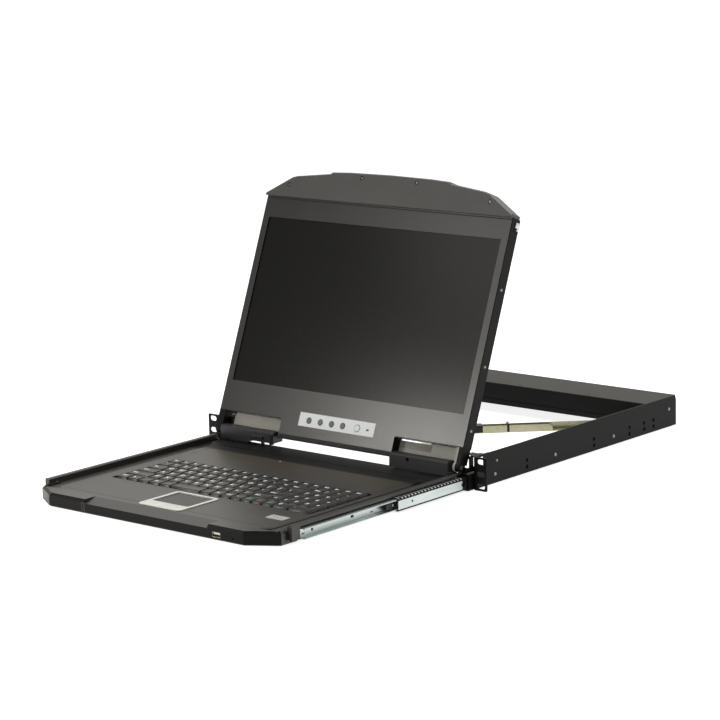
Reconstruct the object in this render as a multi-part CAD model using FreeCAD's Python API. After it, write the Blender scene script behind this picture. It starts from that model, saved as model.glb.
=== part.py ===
import FreeCAD, Part
import math
import os

# Rackmount LCD console drawer, one rack unit high, drawn with the drawer pulled out
# and the lid standing open.  Millimetres.  X runs across the rack to the right, Y runs
# into the rack and Z is up.  The file origin is the centre of the ears' hole pattern on
# their front plane.  Heights below are counted from the underside of the rack unit, and
# save() moves each piece down by half a unit as it is written.

V = FreeCAD.Vector
os.makedirs("parts", exist_ok=True)

# ---- driving dimensions -------------------------------------------------------------
UNIT_H = 43.65              # one rack unit less the usual clearance
RACK_W = 482.6              # over the ears
HOLE_X = 232.55             # ear hole columns, 465.1 apart
HOLE_DZ = 15.875            # ear hole rows above and below the middle one
WALL_X = 222.0              # outer face of a side wall
WALL_IN = 220.5             # inner face of a side wall
DEPTH = 460.0               # ears to rear panel
BOX_Y = 385.0               # front wall of the rear box
BOX_Z = 12.5                # underside of the rear box
TRAVEL = 345.0              # how far the drawer goes in from this drawn position

TRAY_X = 205.5              # half width of the tray between its slides
TRAY_FRONT = -350.0
TRAY_REAR = -14.0
HANDLE_Y = -373.0
BORDER_Z = 15.5             # lower border of the deck
DECK_Z = 18.0               # raised deck
RIM_Z = 23.5                # side rims
RIM_X = 211.0

AXIS_Y = -12.0              # lid hinge axis
AXIS_Z = 30.3
TILT = 21.44                # lid leans back from upright
LCD_Y = -19.8               # foot of the lid's front plane, where its own height s = 0
LCD_Z = 25.64
LCD_X = 211.5
LCD_T = 17.5
LCD_TOP = 334.0
NOTCH_X = 98.0
NOTCH_S = 32.0
SCREEN_X = 200.2
SCREEN_S = (74.2, 304.6)

KEY_PITCH_X = 17.4
KEY_PITCH_Y = 19.25
KEY_X0 = -158.0
KEY_Y0 = -264.0

ARM_X = 185.0               # cable arm pivots, front one on the tray, rear one on the box
ARM_REAR_Y = 360.0
ARM_L = 261.5
ARM_ANGLE = 43.5


# ---- helpers ------------------------------------------------------------------------
def box(x0, x1, y0, y1, z0, z1):
    return Part.makeBox(x1 - x0, y1 - y0, z1 - z0, V(x0, y0, z0))


def prism(points, vec):
    return Part.Face(Part.makePolygon(points + [points[0]])).extrude(vec)


def prism_x(yz, x0, x1):
    return prism([V(x0, y, z) for y, z in yz], V(x1 - x0, 0, 0))


def prism_y(xz, y0, y1):
    return prism([V(x, y0, z) for x, z in xz], V(0, y1 - y0, 0))


def prism_z(xy, z0, z1):
    return prism([V(x, y, z0) for x, y in xy], V(0, 0, z1 - z0))


def rod(start, end, r):
    a = V(*start)
    b = V(*end)
    return Part.makeCylinder(r, (b - a).Length, a, b - a)


def small_rod(start, end, r, sides=12):
    """A small pin or hole as a many-sided prism, circumscribed about its radius."""
    a = V(*start)
    run = V(*end) - a
    turn = FreeCAD.Rotation(V(0, 0, 1), run)
    spoke = r / math.cos(math.pi / sides)
    ring = [a + turn.multVec(V(spoke * math.cos(2 * math.pi * k / sides),
                               spoke * math.sin(2 * math.pi * k / sides), 0)) for k in range(sides)]
    return prism(ring, run)


def slot_y(x, z, length, width, y0, y1):
    """Round-ended slot along X, cut through in Y."""
    h = (length - width) / 2
    ends = [rod((x + k * h, y0, z), (x + k * h, y1, z), width / 2) for k in (-1, 1)]
    return box(x - h, x + h, y0, y1, z - width / 2, z + width / 2).fuse(ends)


def slot_x(y, z, dy, dz, x0, x1):
    """Small slot cut through in X, with its corners taken off."""
    c = min(dy, dz) * 0.3
    hy = dy / 2
    hz = dz / 2
    return prism_x([(y - hy + c, z - hz), (y + hy - c, z - hz), (y + hy, z - hz + c), (y + hy, z + hz - c),
                    (y + hy - c, z + hz), (y - hy + c, z + hz), (y - hy, z + hz - c), (y - hy, z - hz + c)],
                   x0, x1)


def soft_box(x0, x1, y0, y1, z0, z1, r, steps=3):
    """Plate whose upright corners are rounded in a few flat steps."""
    ring = []
    corners = ((x1 - r, y1 - r, 0), (x0 + r, y1 - r, 90), (x0 + r, y0 + r, 180), (x1 - r, y0 + r, 270))
    for cx, cy, start in corners:
        for k in range(steps + 1):
            a = math.radians(start + 90 * k / steps)
            ring.append((cx + r * math.cos(a), cy + r * math.sin(a)))
    return prism_z(ring, z0, z1)


def mirrored(shape):
    return shape.mirror(V(0, 0, 0), V(1, 0, 0))


def on_lcd(shape):
    """Lid pieces are drawn as x, depth behind the front plane, height s up the lid."""
    placed = shape.copy()
    placed.rotate(V(0, 0, 0), V(1, 0, 0), -TILT)
    placed.translate(V(0, LCD_Y, LCD_Z))
    return placed


def save(name, *shapes):
    solids = [s for shape in shapes for s in shape.Solids]
    body = solids[0].copy() if len(solids) == 1 else Part.makeCompound(solids)
    body.translate(V(0, 0, -UNIT_H / 2))
    body.exportStep("parts/%s.step" % name)


def save_pair(name, right):
    save(name + "_right", right)
    save(name + "_left", mirrored(right))


def screw(head_at, inward, r_head, r_shank, h_head, length):
    """Pan head screw: a tapered head stands on the face, the shank runs inward."""
    p = V(*head_at)
    d = V(*inward)
    turn = FreeCAD.Rotation(V(0, 0, 1), d)
    rings = []
    for r, depth in ((r_head * 0.75, -h_head), (r_head, 0.0)):
        ring = [p + d * depth + turn.multVec(V(r * math.cos(a), r * math.sin(a), 0))
                for a in [2 * math.pi * k / 8 for k in range(8)]]
        rings.append(Part.makePolygon(ring + [ring[0]]))
    head = Part.makeLoft(rings, True, True)
    return head.fuse(small_rod(p, p + d * length, r_shank, 6))


# ---- chassis side walls, each bent from one sheet with its rack ear --------------------
WALL_SCREWS = [(46.9, 29.8), (43.1, 12.7), (173.9, 12.9), (307.6, 12.6), (441.8, 26.0)]
PAIR_Y = (111.4, 261.8, 345.5, 381.0, 403.7)

wall = prism_x([(1, 0.8), (DEPTH, 0.8), (DEPTH, 37.2), (DEPTH - 1.8, 41.4), (DEPTH - 6, 43.2),
                (34, 43.2), (30, UNIT_H), (1, UNIT_H)], WALL_IN, WALL_X)
EAR_X = RACK_W / 2
ear = prism_y([(WALL_IN, 0), (EAR_X - 1.5, 0), (EAR_X - 0.4, 0.4), (EAR_X, 1.5), (EAR_X, UNIT_H - 1.5),
               (EAR_X - 0.4, UNIT_H - 0.4), (EAR_X - 1.5, UNIT_H), (WALL_IN, UNIT_H)], 0, 2.0)
side = wall.fuse(ear).removeSplitter()
side = side.cut(prism_z([(WALL_IN - 1, -1), (WALL_IN + 1.9, -1), (WALL_IN + 1.9, 0), (WALL_IN + 0.6, 0.6),
                         (WALL_IN, 1.9), (WALL_IN - 1, 1.9)], -1, 45))
for row in (-1, 0, 1):
    side = side.cut(slot_y(HOLE_X, UNIT_H / 2 + row * HOLE_DZ, 12.0, 7.0, -1, 3))
for y in PAIR_Y:
    for z in (8.6, 17.3):
        side = side.cut(box(WALL_IN - 1, WALL_X + 1, y - 2.3, y + 2.3, z - 2.5, z + 2.5))
for y, z in WALL_SCREWS:
    side = side.cut(small_rod((WALL_IN - 1, y, z), (WALL_X + 1, y, z), 2.0, 6))
side = side.cut(box(WALL_IN - 1, WALL_X + 1, 5.5, 20.0, 29.0, 40.5))
save_pair("side_wall", side)

screws = []
for y, z in WALL_SCREWS:
    small = 0.8 if (y, z) == WALL_SCREWS[0] else 1.0
    screws.append(screw((WALL_X, y, z), (-1, 0, 0), 2.5 * small, 1.7, 1.1, 1.4))
save("chassis_screws", *(screws + [mirrored(s) for s in screws]))

# ---- guide brackets behind the ears: a top tab with two hanging posts ------------------
tab = prism_z([(214.5, 2), (WALL_IN, 2), (WALL_IN, 22), (216.5, 22), (215.1, 21.4), (214.5, 20)], 42.6, UNIT_H)
plate = box(214.5, 215.7, 2.0, 22.0, 22.6, 42.6)
plate = plate.cut(box(214, 216, 6.4, 23.0, 28.5, 40.6))
guide = tab.fuse(plate).removeSplitter()
guide = guide.cut(small_rod((217.6, 9, 42), (217.6, 9, 44), 1.6, 8))
save("guide_brackets", guide, mirrored(guide))

# ---- rear box: folded cover over a base pan with the rear panel ------------------------
cover = prism_x([(BOX_Y, 19.0), (BOX_Y, 43.2), (DEPTH, 43.2), (DEPTH, 42.0),
                 (BOX_Y + 1.2, 42.0), (BOX_Y + 1.2, 19.0)], -WALL_IN, WALL_IN)
cover = cover.makeChamfer(0.8, [e for e in cover.Edges if e.Vertexes[0].Y < BOX_Y + 0.1
                                and e.Vertexes[1].Y < BOX_Y + 0.1
                                and e.Vertexes[0].Z > 43 and e.Vertexes[1].Z > 43])
cover = cover.cut([box(x - 4, x + 4, BOX_Y + 8, BOX_Y + 9.2, 41, 44) for x in (-120, 0, 120)])
save("rear_box_cover", cover)

pan = prism_x([(BOX_Y - 1.2, BOX_Z), (DEPTH, BOX_Z), (DEPTH, 42.0), (DEPTH - 1.2, 42.0),
               (DEPTH - 1.2, BOX_Z + 1.2), (BOX_Y, BOX_Z + 1.2), (BOX_Y, 19.0),
               (BOX_Y - 1.2, 19.0)], -WALL_IN, WALL_IN)
for sx in (-1, 1):
    x0, x1 = sorted((sx * 219.3, sx * WALL_IN))
    end = box(x0, x1, BOX_Y + 1.2, DEPTH - 1.2, BOX_Z + 1.2, 42.0)
    pan = pan.fuse([end, box(x0, x1, 378.3, DEPTH - 1.2, 4.0, 18.7)])
INLET_X = -178.0
PORT_X = 96.0
PANEL_Z = 28.0
pan = pan.cut([box(INLET_X - 24, INLET_X + 34, DEPTH - 2, DEPTH + 1, PANEL_Z - 10, PANEL_Z + 10),
               box(PORT_X - 12, PORT_X + 12, DEPTH - 2, DEPTH + 1, PANEL_Z - 6, PANEL_Z + 6)])
pan = pan.cut([box(-63 + 15 * k, -52 + 15 * k, DEPTH - 2, DEPTH + 1, PANEL_Z - 1.2, PANEL_Z + 1.2)
               for k in range(6)])
save("rear_box_base", pan.removeSplitter())

# ---- power inlet with its switch frame, and the rocker in it ---------------------------
ROCKER_X = INLET_X + 22.0
inlet = box(INLET_X - 24, INLET_X + 34, DEPTH - 26, DEPTH, PANEL_Z - 10, PANEL_Z + 10)
flange = box(INLET_X - 27, INLET_X + 37, DEPTH, DEPTH + 1.6, PANEL_Z - 12, PANEL_Z + 12)
flange = flange.makeChamfer(2.0, [e for e in flange.Edges if abs(e.Vertexes[0].Y - e.Vertexes[1].Y) > 1])
inlet = inlet.fuse(flange).removeSplitter()
socket = box(INLET_X - 20, INLET_X + 5, DEPTH - 17, DEPTH + 2, PANEL_Z - 8.5, PANEL_Z + 8.5)
socket = socket.makeChamfer(4.0, [e for e in socket.Edges if abs(e.Vertexes[0].Z - e.Vertexes[1].Z)
                                  + abs(e.Vertexes[0].X - e.Vertexes[1].X) < 1e-6
                                  and e.Vertexes[0].Z < PANEL_Z])
inlet = inlet.cut(socket)
for dx, dz in ((-7.0, -2.0), (7.0, -2.0), (0.0, 3.0)):
    x = INLET_X - 7.5 + dx
    inlet = inlet.fuse(box(x - 1, x + 1, DEPTH - 17.5, DEPTH - 6, PANEL_Z + dz - 2, PANEL_Z + dz + 2))
inlet = inlet.cut(box(ROCKER_X - 7.3, ROCKER_X + 7.3, DEPTH - 12, DEPTH + 2, PANEL_Z - 9, PANEL_Z + 9))
inlet = inlet.fuse(rod((ROCKER_X - 7.6, DEPTH - 3, PANEL_Z), (ROCKER_X + 7.6, DEPTH - 3, PANEL_Z), 1.5))
save("power_inlet", inlet.removeSplitter())

rocker = prism_x([(DEPTH - 8, PANEL_Z - 6), (DEPTH + 1.2, PANEL_Z - 8), (DEPTH + 3.6, PANEL_Z - 7.6),
                  (DEPTH + 1.8, PANEL_Z), (DEPTH + 0.6, PANEL_Z + 7.8), (DEPTH - 0.6, PANEL_Z + 8),
                  (DEPTH - 8, PANEL_Z + 6)], ROCKER_X - 6.9, ROCKER_X + 6.9)
rocker = rocker.cut(rod((ROCKER_X - 8, DEPTH - 3, PANEL_Z), (ROCKER_X + 8, DEPTH - 3, PANEL_Z), 1.56))
save("power_rocker", rocker)

# ---- console socket: three rows of contacts in a D-shaped shell ------------------------
shell = prism_y([(PORT_X - 8.4, PANEL_Z + 4.1), (PORT_X + 8.4, PANEL_Z + 4.1),
                 (PORT_X + 7.0, PANEL_Z - 4.1), (PORT_X - 7.0, PANEL_Z - 4.1)], DEPTH - 8, DEPTH + 6)
port = box(PORT_X - 11.9, PORT_X + 11.9, DEPTH - 8, DEPTH + 1.0, PANEL_Z - 5.9, PANEL_Z + 5.9)
port = port.fuse(shell)
for row in (-1, 0, 1):
    x = PORT_X + 0.6 * row
    z = PANEL_Z + 2.1 * row
    port = port.cut(box(x - 5.1, x + 5.1, DEPTH + 2, DEPTH + 7, z - 0.45, z + 0.45))
for sx in (-1, 1):
    x = PORT_X + sx * 10
    port = port.fuse(small_rod((x, DEPTH, PANEL_Z), (x, DEPTH + 5, PANEL_Z), 1.8, 6))
save("console_port", port.removeSplitter())

# ---- telescopic slides: three nested channels and two ball cages each side -------------
SLIDE_Z = 10.75
GAUGE = 0.9


def channel(web_x, tip_x, half_h, y0, y1):
    """Rolled channel whose web stands at web_x and whose flanges reach tip_x."""
    s = 1 if web_x > tip_x else -1
    skin = [(tip_x, half_h), (web_x - s * 1.3, half_h), (web_x - s * 0.4, half_h - 0.4), (web_x, half_h - 1.3)]
    hollow = [(web_x - s * GAUGE, half_h - GAUGE - 0.4), (web_x - s * (GAUGE + 0.4), half_h - GAUGE),
              (tip_x, half_h - GAUGE)]
    loop = skin + [(x, -z) for x, z in skin[::-1] + hollow[::-1]] + hollow
    return prism_y([(x, SLIDE_Z + z) for x, z in loop], y0, y1)


outer = channel(WALL_IN, 211.6, 10.65, -10.0, 378.0)
outer = outer.cut([slot_x(y, SLIDE_Z, 8, 4, 219, 221) for y in (60, 190, 320)])
outer = outer.fuse(small_rod((219.7, 12, SLIDE_Z), (219.42, 12, SLIDE_Z), 2.2, 8))
save_pair("slide_outer", outer)

middle = channel(218.5, 208.6, 8.55, -148.0, 202.0)
middle = middle.cut([box(208, 213.5, -134 + 6.5 * k, -130.6 + 6.5 * k, 18, 20) for k in range(20)])
middle = middle.cut([slot_x(-19, SLIDE_Z, 7, 4.4, 217, 219),
                     small_rod((217, -121, SLIDE_Z), (219, -121, SLIDE_Z), 1.6, 8),
                     slot_x(120, SLIDE_Z, 9, 4.4, 217, 219)])
corner = box(217, 219, -149, -144, SLIDE_Z + 3, SLIDE_Z + 9)
middle = middle.cut(corner.cut(small_rod((216, -144, SLIDE_Z + 3), (220, -144, SLIDE_Z + 3), 4.6)))
save_pair("slide_middle", middle)

inner = channel(TRAY_X, 216.5, 6.45, -320.0, -18.0)
inner = inner.cut([small_rod((205, -296, SLIDE_Z), (207, -296, SLIDE_Z), 2.0, 8),
                   slot_x(-222, SLIDE_Z, 6, 3.4, 205, 207),
                   slot_x(-60, SLIDE_Z, 6, 3.4, 205, 207)])
for y in (-312, -185):
    lance = [(-3.4, 0), (-2.4, -2.4), (0, -3.4), (2.4, -2.4), (3.4, 0), (2.2, -1.1), (0, -1.8), (-2.2, -1.1)]
    inner = inner.cut(prism_x([(y + dy, SLIDE_Z + dz) for dy, dz in lance], 205, 207))
LEVER_Y = -152.5
inner = inner.fuse(rod((206.2, LEVER_Y, SLIDE_Z), (213.4, LEVER_Y, SLIDE_Z), 1.5)).removeSplitter()
save_pair("slide_inner", inner)


def cage(x_in, x_out, gap_z, y0, y1, pockets):
    """Ball cage: two strips in the gaps between flanges, joined by a thin web."""
    strips = box(x_in, x_out, y0, y1, SLIDE_Z - gap_z - 0.35, SLIDE_Z + gap_z + 0.35)
    strips = strips.cut(box(x_in - 1, x_out - 0.4, y0 - 1, y1 + 1,
                            SLIDE_Z - gap_z + 0.35, SLIDE_Z + gap_z - 0.35))
    step = (y1 - y0) / pockets
    for k in range(pockets):
        y = y0 + step * (k + 0.5)
        mid = (x_in + x_out) / 2 - 0.6
        strips = strips.cut(box(mid - 1, mid + 1, y - 1, y + 1, -2, 25))
    return strips


save_pair("cage_outer", cage(212.2, 219.25, 9.15, -6.0, 194.0, 8))
save_pair("cage_inner", cage(209.6, 217.25, 7.05, -142.0, -22.0, 6))

lever = prism_x([(-167, 7.6), (-158, 6.6), (-149.5, 6.6), (-149.5, 14.9), (-158, 14.9), (-167, 13.9)],
                207.6, 213.0)
lever = lever.fuse(box(207.6, 214.6, -167, -163.5, 7.6, 13.9))
lever = lever.cut([box(209, 214, -162.4 + 2.6 * k, -161.2 + 2.6 * k, 14.2, 15.5) for k in range(3)])
lever = lever.cut(rod((206, LEVER_Y, SLIDE_Z), (215, LEVER_Y, SLIDE_Z), 1.55)).removeSplitter()
save_pair("slide_lever", lever)

# ---- tray pan --------------------------------------------------------------------------
NOSE_X = 198.8              # half width of the tray where the handle's arms wrap round it
HORN_Y = -321.0             # rear end of those arms


def tray_slab(inset, z0, z1):
    """Plan of the tray, narrower between the handle's arms, drawn in by the inset."""
    x = TRAY_X - inset
    nose = NOSE_X - inset
    step = HORN_Y + inset
    right = [(nose, TRAY_FRONT + inset), (nose, step), (x, step), (x, TRAY_REAR - inset)]
    return prism_z(right + [(-x, y) for x, y in right[::-1]], z0, z1)


tray = tray_slab(0.0, 2.4, 13.5)
tray = tray.cut(tray_slab(1.2, 3.6, 14))
tray = tray.cut([box(60 * k - 8, 60 * k + 8, TRAY_REAR - 3, TRAY_REAR + 1, 6.5, 11.5) for k in (-1, 0, 1)])
save("tray_pan", tray)

# ---- deck: border, raised palm rest and key surround, side rims ------------------------
deck = tray_slab(0.0, 13.5, BORDER_Z)
raised = prism_z([(-172, TRAY_FRONT), (172, TRAY_FRONT), (182, TRAY_FRONT + 12), (182, -62),
                  (196, -44), (196, TRAY_REAR), (-196, TRAY_REAR), (-196, -44), (-182, -62),
                  (-182, TRAY_FRONT + 12)], BORDER_Z, DECK_Z)
sloped = [e for e in raised.Edges if abs(e.Vertexes[0].Z - DECK_Z) < 0.01
          and abs(e.Vertexes[1].Z - DECK_Z) < 0.01
          and abs((e.Vertexes[0].Y + e.Vertexes[1].Y) / 2 - TRAY_FRONT) > 1
          and abs((e.Vertexes[0].Y + e.Vertexes[1].Y) / 2 - TRAY_REAR) > 1]
deck = deck.fuse(raised.makeChamfer(1.6, sloped))
rim = prism_y([(203.8, 13.5), (TRAY_X, 13.5), (TRAY_X, 19.9), (RIM_X, 19.9), (RIM_X, 22.9),
               (RIM_X - 0.6, RIM_Z), (204.9, RIM_Z), (203.8, 22.4)], -337.0, -22.0)
rim = rim.fuse(box(TRAY_X, RIM_X, -337, HORN_Y, DECK_Z, 19.9)).cut(box(203, 212, -338, HORN_Y, 13, DECK_Z))
rim = rim.fuse(box(TRAY_X, RIM_X, -337, HORN_Y - 1.5, 5.0, DECK_Z))
deck = deck.fuse([rim, mirrored(rim)]).removeSplitter()
WELL = (-162.0, 176.5, -267.0, -146.0)
deck = deck.cut(soft_box(*WELL, 13, 19, 2.0, 2))
deck = deck.cut(box(-169, 169, -115, -75, 17, 19))
deck = deck.cut(box(-170, 170, -51.6, -50.4, 17.4, 19))
deck = deck.cut(box(-165, -120, -52.6, -50.4, 17.0, 19))
pad_hole = soft_box(-35.3, 36.5, -348, -274, 16.5, 19, 6.0, 4)
deck = deck.cut([pad_hole, box(-31, 32.2, -346, -330.5, 16.0, 18)])
deck = deck.cut(prism_z([(-171, -340), (171, -340), (171, -339.4), (-171, -339.4)], 17.6, 19)
                .cut(box(-38, 39, -345, -335, 17, 20)))
save("deck", deck)

# ---- front handle: chamfered bar with a sloping centre lip and two side arms -----------
HORN_X = 205.2
outline = [(165.7, HANDLE_Y), (200.5, -351.4), (204.4, -348.4), (HORN_X, HORN_Y)]
outline += [(-x, y) for x, y in outline[::-1]]
bar = prism_z(outline, 0.7, DECK_Z)


def rim_edges(shape, z):
    picked = []
    for e in shape.Edges:
        a = e.Vertexes[0].Point
        b = e.Vertexes[-1].Point
        if abs(a.z - z) < 0.01 and abs(b.z - z) < 0.01 and (a.y + b.y) / 2 < -322:
            picked.append(e)
    return picked


bar = bar.makeChamfer(3.2, rim_edges(bar, DECK_Z))
bar = bar.makeChamfer(1.4, rim_edges(bar, 0.7))
bar = bar.cut(tray_slab(0.0, 0, 19))
lip = prism_x([(-352, DECK_Z), (-376, 12.9), (-376, 20), (-352, 20)], -104, 107)
bar = bar.cut(lip)
seam = box(-105.6, -104.9, -374, -349, 0, 19).cut(box(-106, -104, -372.3, -350, 1.4, 16.9))
bar = bar.cut([seam, box(115.0, 128.4, -374, -357, 4.1, 10.5)])
bar = bar.cut([small_rod((149.2, -374, 6.5), (149.2, -366, 6.5), 1.2)])
for k in range(4):
    for sx in (-1, 1):
        x0, x1 = sorted((sx * (HORN_X - 0.8), sx * (HORN_X + 1)))
        bar = bar.cut(box(x0, x1, -342 + 6 * k, -339 + 6 * k, 2, 14.5))
save("front_handle", bar)

# ---- USB socket in the handle: folded shell with its contact tongue --------------------
usb = box(115.0, 128.4, -372.6, -357.0, 4.1, 10.5)
usb = usb.cut(box(115.5, 127.9, -374, -358.5, 4.6, 10.0))
usb = usb.fuse(box(116.1, 127.3, -371.4, -358.0, 7.4, 9.4))
save("usb_port", usb.removeSplitter())

# ---- keyboard: bed plate, six rows of tapered caps and the space bar --------------------
bed = box(WELL[0] - 3, WELL[1] + 3, WELL[2] - 3, WELL[3] + 3, 10.8, 12.3)
bed = bed.fuse([box(x, x + 3, WELL[2], WELL[3], 3.6, 10.8) for x in (-150, 5, 160)])
save("key_bed", bed.removeSplitter())


def keycap(x0, width, y0, depth):
    """One cap: a block that tapers from its foot to its top."""
    x1 = x0 + width * KEY_PITCH_X
    y1 = y0 + depth
    foot = [V(x0 + 0.5, y0 + 0.8, 14.6), V(x1 - 0.5, y0 + 0.8, 14.6),
            V(x1 - 0.5, y1 - 0.8, 14.6), V(x0 + 0.5, y1 - 0.8, 14.6)]
    top = [V(x0 + 1.6, y0 + 2.6, 20.0), V(x1 - 1.6, y0 + 2.6, 20.0),
           V(x1 - 1.6, y1 - 1.6, 20.0), V(x0 + 1.6, y1 - 1.6, 20.0)]
    rings = [foot, top] + [[foot[k], foot[k - 1], top[k - 1], top[k]] for k in range(4)]
    return Part.Solid(Part.Shell([Part.Face(Part.makePolygon(p + [p[0]])) for p in rings]))


ROWS = [
    [1.108] * 5 + [None] + [1.0] * 7 + [1.5, 2.018],
    [2.25] + [1.0] * 10 + [1.75, 1.0] + [1.0] * 4,
    [1.75] + [1.0] * 11 + [2.25] + [1.0] * 4,
    [1.5] + [1.0] * 12 + [1.5] + [1.0] * 4,
    [1.0] * 13 + [2.0] + [1.0] * 4,
    [1.0] * 19,
]
SPACE = 2.942
for number, widths in enumerate(ROWS):
    x = KEY_X0
    y = KEY_Y0 + number * KEY_PITCH_Y
    caps = []
    for w in widths:
        if w is None:
            save("space_bar", keycap(x, SPACE, y, KEY_PITCH_Y))
            x += SPACE * KEY_PITCH_X
        else:
            caps.append(keycap(x, w, y, KEY_PITCH_Y))
            x += w * KEY_PITCH_X
    save("keys_row_%d" % (number + 1), *caps)

# ---- touchpad, its silver frame and its two buttons -------------------------------------
frame = soft_box(-35.3, 36.5, -348, -274, 16.5, 18.9, 6.0, 4)
frame = frame.cut(soft_box(-30, 31.2, -327, -278, 16, 20, 2.0, 2))
frame = frame.cut(box(-31, 32.2, -346, -330.5, 16, 20))
save("touchpad_frame", frame)
save("touchpad", soft_box(-30, 31.2, -327, -278, 16.5, 17.7, 2.0, 2))
for side_name, x0, x1 in (("left", -30.8, 0.45), ("right", 0.75, 32.0)):
    button = box(x0, x1, -345.8, -330.7, 16.8, 18.8)
    button = button.cut(box(x0 + 6, x1 - 6, -341, -335.5, 18.6, 19))
    save("touchpad_button_" + side_name, button)

save("status_strip", box(-169, 169, -115, -75, 17, 17.9))
save("lock_plate", soft_box(142, 170, -308, -293, 18, 18.5, 1.5, 2))

# ---- hinge covers on the tray, rounded behind about the hinge axis ----------------------
R_COVER = 7.5
HINGE_X = (101.0, 197.0)
arc = Part.Arc(V(HINGE_X[0], AXIS_Y + R_COVER, AXIS_Z),
               V(HINGE_X[0], AXIS_Y + R_COVER * math.cos(math.pi / 4), AXIS_Z + R_COVER * math.sin(math.pi / 4)),
               V(HINGE_X[0], AXIS_Y, AXIS_Z + R_COVER)).toShape()
line = Part.makePolygon([V(HINGE_X[0], y, z) for y, z in (
    (AXIS_Y, AXIS_Z + R_COVER), (-21.0, AXIS_Z + R_COVER), (-23.0, 35.8), (-24.0, 20.0),
    (AXIS_Y + R_COVER, 20.0), (AXIS_Y + R_COVER, AXIS_Z))])
hinge = Part.Face(Part.Wire([arc] + line.Edges)).extrude(V(HINGE_X[1] - HINGE_X[0], 0, 0))
hinge = hinge.fuse(box(150, 195, -22, -15, 18, 20))
hinge = hinge.cut(small_rod((190, AXIS_Y, AXIS_Z), (198, AXIS_Y, AXIS_Z), 3.0, 8))
hinge = hinge.removeSplitter()
save("hinge_cover_right", hinge.cut(small_rod((131.5, -26, 32.5), (131.5, -20, 32.5), 2.4)))
hasp = prism_x([(-22.5, 25.5), (-25.4, 27.0), (-25.4, 30.6), (-22.8, 31.8)], -139, -119)
post = box(-128, -124, -18, -15, DECK_Z, 23.5)
boss = small_rod((-104.6, -22.4, 21.5), (-104.6, -22.4, 35.0), 3.2, 10)
left = mirrored(hinge).cut(box(-146, -100, -30, 0, 19, 23)).fuse([hasp, post, boss])
save("hinge_cover_left", left.removeSplitter())
pin = rod((190, AXIS_Y, AXIS_Z), (211.2, AXIS_Y, AXIS_Z), 3.0)
save("hinge_pins", pin, mirrored(pin))

# ---- lid -------------------------------------------------------------------------------
OSD_X = (-49.7, -29.8, -10.3, 9.1)
OSD_S = 35.0
POWER_X = 34.2
LED_X = 51.8


def lid_outline(inset, t0, t1):
    upper = box(-LCD_X + inset, LCD_X - inset, t0, t1, NOTCH_S + inset, LCD_TOP - inset)
    lower = box(-NOTCH_X + inset, NOTCH_X - inset, t0, t1, 7.0 + inset, NOTCH_S + inset + 1)
    return upper.fuse(lower).removeSplitter()


bezel = lid_outline(0.0, 0.0, 16.0)
bezel = bezel.makeChamfer(0.8, [e for e in bezel.Edges if abs(e.Vertexes[0].Z - e.Vertexes[1].Z) > 100
                                and e.Vertexes[0].Y < 0.1])
bezel = bezel.cut(lid_outline(1.5, 1.5, 17.0))
bezel = bezel.cut(box(-SCREEN_X, SCREEN_X, -1, 3, *SCREEN_S))
bezel = bezel.cut(box(OSD_X[0] - 5, POWER_X + 6, -1, 3, OSD_S - 5, OSD_S + 5))
for s in (55, 139, 240):
    bezel = bezel.cut(small_rod((-213, 8, s), (213, 8, s), 1.6, 6))
save("lcd_bezel", on_lcd(bezel))

back = lid_outline(0.0, 16.0, 16.9)
back = back.fuse(box(-172, 172, 16.9, LCD_T, 62, 300)).removeSplitter()
vents = [box(x - 17, x + 17, 15, 18, s - 1.3, s + 1.3) for x in (-40, 0, 40) for s in (277, 288)]
save("lcd_back_cover", on_lcd(back.cut(vents)))
save("lcd_panel", on_lcd(box(-205, 205, 1.5, 11.5, 70, 309)))

plate = box(-67, 63.5, -0.5, 0, 26.4, 45).cut(box(LED_X - 1.6, LED_X + 1.6, -1, 0.2, 33.6, 35.8))
for x, r in [(x, 3.6) for x in OSD_X] + [(POWER_X, 4.2)]:
    plate = plate.cut(small_rod((x, -3, OSD_S), (x, 3, OSD_S), r + 0.3, 16))
save("osd_plate", on_lcd(plate))
for k, x in enumerate(OSD_X):
    cap = small_rod((x, -1.2, OSD_S), (x, 5.5, OSD_S), 3.6, 16)
    save("osd_button_%d" % (k + 1), on_lcd(cap))
save("power_button", on_lcd(small_rod((POWER_X, -1.1, OSD_S), (POWER_X, 5.5, OSD_S), 4.2, 16)))

# upper handle: stepped outline, bevelled all round its front edge
right_half = [(211.3, LCD_TOP), (211.3, 338.0), (170, 362), (162, 364), (104.5, 370.5), (101.5, 373)]
shape_xs = right_half + [(70, 374.6), (0, 375.5), (-70, 374.6)] + [(-x, s) for x, s in right_half[::-1]]
grip = prism_y(shape_xs, -4.5, 15.0)
front = [e for e in grip.Edges if abs(e.Vertexes[0].Y + 4.5) < 0.01 and abs(e.Vertexes[1].Y + 4.5) < 0.01
         and (e.Vertexes[0].Z + e.Vertexes[1].Z) / 2 > LCD_TOP + 3]
grip = grip.makeChamfer(1.5, front)
GRIP_SCREWS = [(-172.8, 351.0), (-47.3, 368.0), (47.3, 368.0), (172.8, 351.0)]
for x, s in GRIP_SCREWS:
    grip = grip.cut([small_rod((x, -5, s), (x, -3.2, s), 3.0, 8), small_rod((x, -5, s), (x, 6, s), 1.6, 6)])
trough = [(190, LCD_TOP + 4), (166, 354), (100, 364), (-100, 364), (-166, 354), (-190, LCD_TOP + 4)]
grip = grip.cut(prism_y(trough, 7.0, 16.0))
save("upper_handle", on_lcd(grip))

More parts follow.
